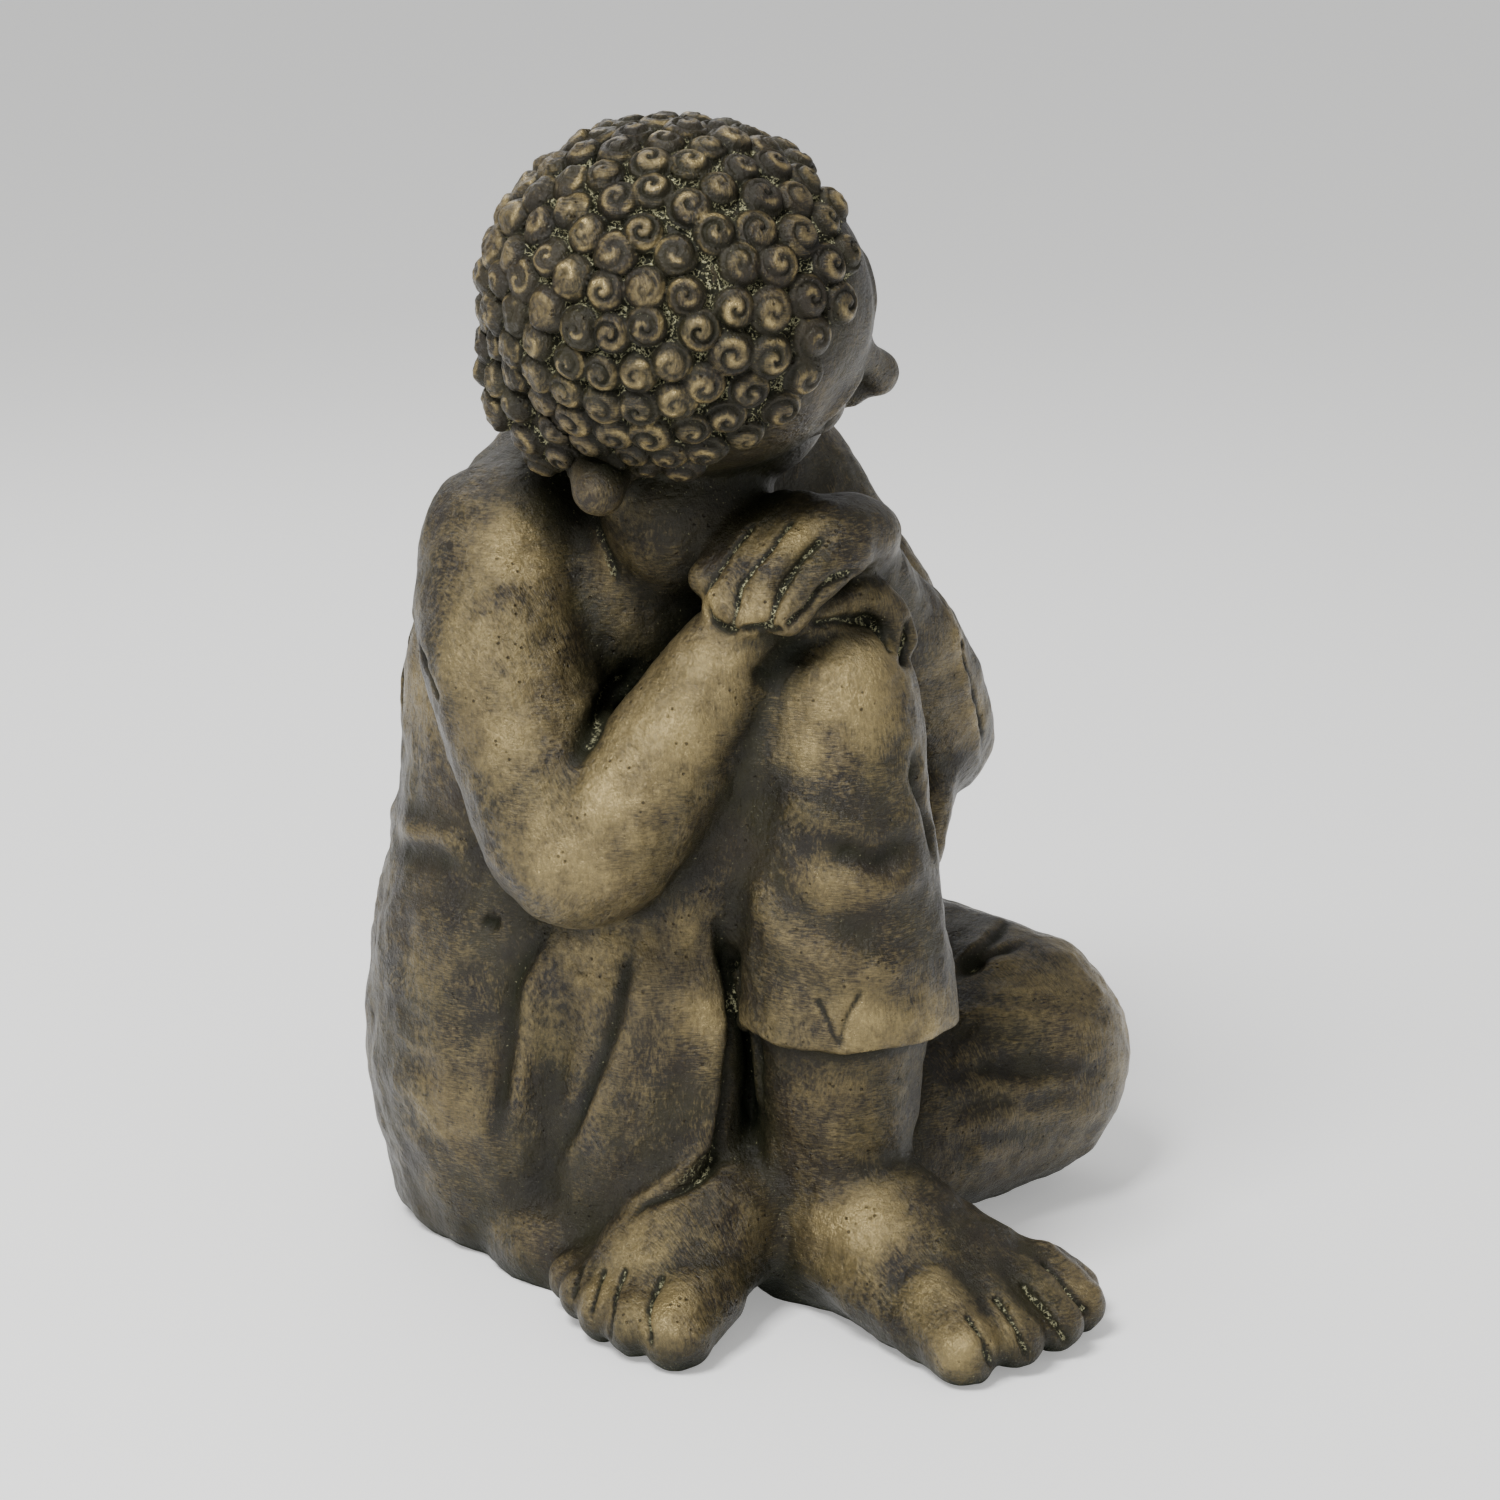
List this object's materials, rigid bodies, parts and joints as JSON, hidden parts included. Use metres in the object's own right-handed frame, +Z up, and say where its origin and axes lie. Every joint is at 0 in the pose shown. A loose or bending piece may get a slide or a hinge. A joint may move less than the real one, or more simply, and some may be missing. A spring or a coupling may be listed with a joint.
{
  "type": "sleeping buddha garden statue",
  "caption": "Cast garden figure of a child-like buddha asleep, seated with one knee raised and the head laid on folded hands.",
  "frame": {"origin": "middle of the bounding box, on the ground plane that the flat underside rests on", "axes": "+Z up, -Y the way the figure sits facing, +X to the figure's left"},
  "size_m": [0.3234, 0.3826, 0.4972],
  "materials": {
    "antique_bronze_finish": "cast stone mix painted in dark antique bronze with rubbed highlights"
  },
  "bodies": {
    "root": {"sleeping_figure": "antique_bronze_finish"}
  },
  "joints": []
}
